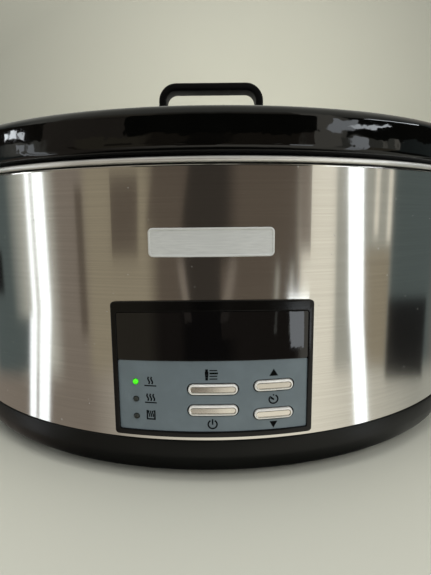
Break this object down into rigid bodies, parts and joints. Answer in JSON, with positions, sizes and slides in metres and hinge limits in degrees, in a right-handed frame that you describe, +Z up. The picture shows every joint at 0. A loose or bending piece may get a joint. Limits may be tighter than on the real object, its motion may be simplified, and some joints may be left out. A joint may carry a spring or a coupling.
{
  "type": "slow cooker",
  "caption": "Oval electric slow cooker: brushed steel body on a moulded base, lift-out stoneware crock, domed glass lid and a curved push-button control panel.",
  "frame": {"origin": "centre of the footprint on the table, under the feet", "axes": "+X to the right of someone facing the control panel, -Y out of the front, +Z up"},
  "size_m": [0.426, 0.2574, 0.2463],
  "materials": {
    "black_plastic": "fine satin moulded polypropylene",
    "gloss_black": "gloss moulded ABS",
    "handle_black": "semi-gloss moulded phenolic",
    "zinc_sheet": "galvanised sheet",
    "screw_steel": "zinc plated",
    "foot_rubber": "grey translucent rubber",
    "brushed_steel_wrap": "stainless sheet brushed lengthwise",
    "well_sheet": "bright plated sheet, pressed",
    "heater_mica": "mica and foil heating band",
    "fuse_ceramic": "ceramic and varnished",
    "nylon": "natural nylon",
    "circuit_board": "solder mask on glass epoxy",
    "component_plastic": "moulded electronic parts",
    "badge_metal": "brushed with a bright bevel",
    "lens_acrylic": "polished dark tinted acrylic",
    "overlay_film": "satin blue-grey printed film",
    "display_glass": "liquid crystal glass, unlit",
    "lamp_lit": "clear green lamp, lit",
    "lamp_off": "clear lamp, unlit",
    "silver_button": "satin champagne silver plating on ABS",
    "stoneware": "gloss black glazed stoneware",
    "lid_glass": "clear tempered glass",
    "silicone": "moulded silicone"
  },
  "bodies": {
    "base": {"base_housing": "black_plastic", "bottom_plate": "zinc_sheet", "bottom_screws": "screw_steel", "rubber_feet": "foot_rubber", "steel_wrap": "brushed_steel_wrap", "heating_well": "well_sheet", "well_studs": "screw_steel", "well_spacers": "screw_steel", "well_nuts": "screw_steel", "heat_shield": "zinc_sheet", "heating_band": "heater_mica", "band_bolt": "screw_steel", "thermal_fuse": "fuse_ceramic", "fuse_clip": "screw_steel", "temperature_sensor": "fuse_ceramic", "cord_gland": "black_plastic", "gland_nut": "black_plastic", "power_board": "circuit_board", "board_standoffs": "nylon", "relay": "component_plastic", "capacitor": "component_plastic", "terminal_block": "component_plastic", "side_handle_left": "black_plastic", "side_handle_right": "black_plastic", "handle_screws": "screw_steel", "badge_plate": "badge_metal", "badge_clips": "screw_steel", "panel_bezel": "gloss_black", "display_lens": "lens_acrylic", "panel_overlay": "overlay_film", "display_module": "display_glass", "control_board": "circuit_board", "board_screws": "screw_steel", "panel_housing": "black_plastic", "tact_switches": "component_plastic", "led_low": "lamp_lit", "led_high": "lamp_off", "led_warm": "lamp_off"},
    "select": {"select_button": "silver_button", "select_plunger": "nylon"},
    "power": {"power_button": "silver_button", "power_plunger": "nylon"},
    "time_up": {"time_up_button": "silver_button", "time_up_plunger": "nylon"},
    "time_down": {"time_down_button": "silver_button", "time_down_plunger": "nylon"},
    "crock": {"crock": "stoneware"},
    "lid": {"lid_glass": "lid_glass", "lid_handle": "handle_black", "lid_seals": "silicone", "lid_screws": "screw_steel"}
  },
  "joints": [
    {"name": "select_press", "type": "slide", "parent": "base", "child": "select", "axis": [0, 1, 0], "range_m": [0, 0.0007], "stiffness_N_per_m": 300, "springref_m": -0.002},
    {"name": "power_press", "type": "slide", "parent": "base", "child": "power", "axis": [0, 1, 0], "range_m": [0, 0.0007], "stiffness_N_per_m": 300, "springref_m": -0.002},
    {"name": "time_up_press", "type": "slide", "parent": "base", "child": "time_up", "axis": [0, 1, 0], "range_m": [0, 0.0007], "stiffness_N_per_m": 300, "springref_m": -0.002},
    {"name": "time_down_press", "type": "slide", "parent": "base", "child": "time_down", "axis": [0, 1, 0], "range_m": [0, 0.0007], "stiffness_N_per_m": 300, "springref_m": -0.002},
    {"name": "crock_lift", "type": "slide", "parent": "base", "child": "crock", "axis": [0, 0, 1], "range_m": [0, 0.15]},
    {"name": "lid_lift", "type": "slide", "parent": "crock", "child": "lid", "axis": [0, 0, 1], "range_m": [0, 0.1]}
  ]
}
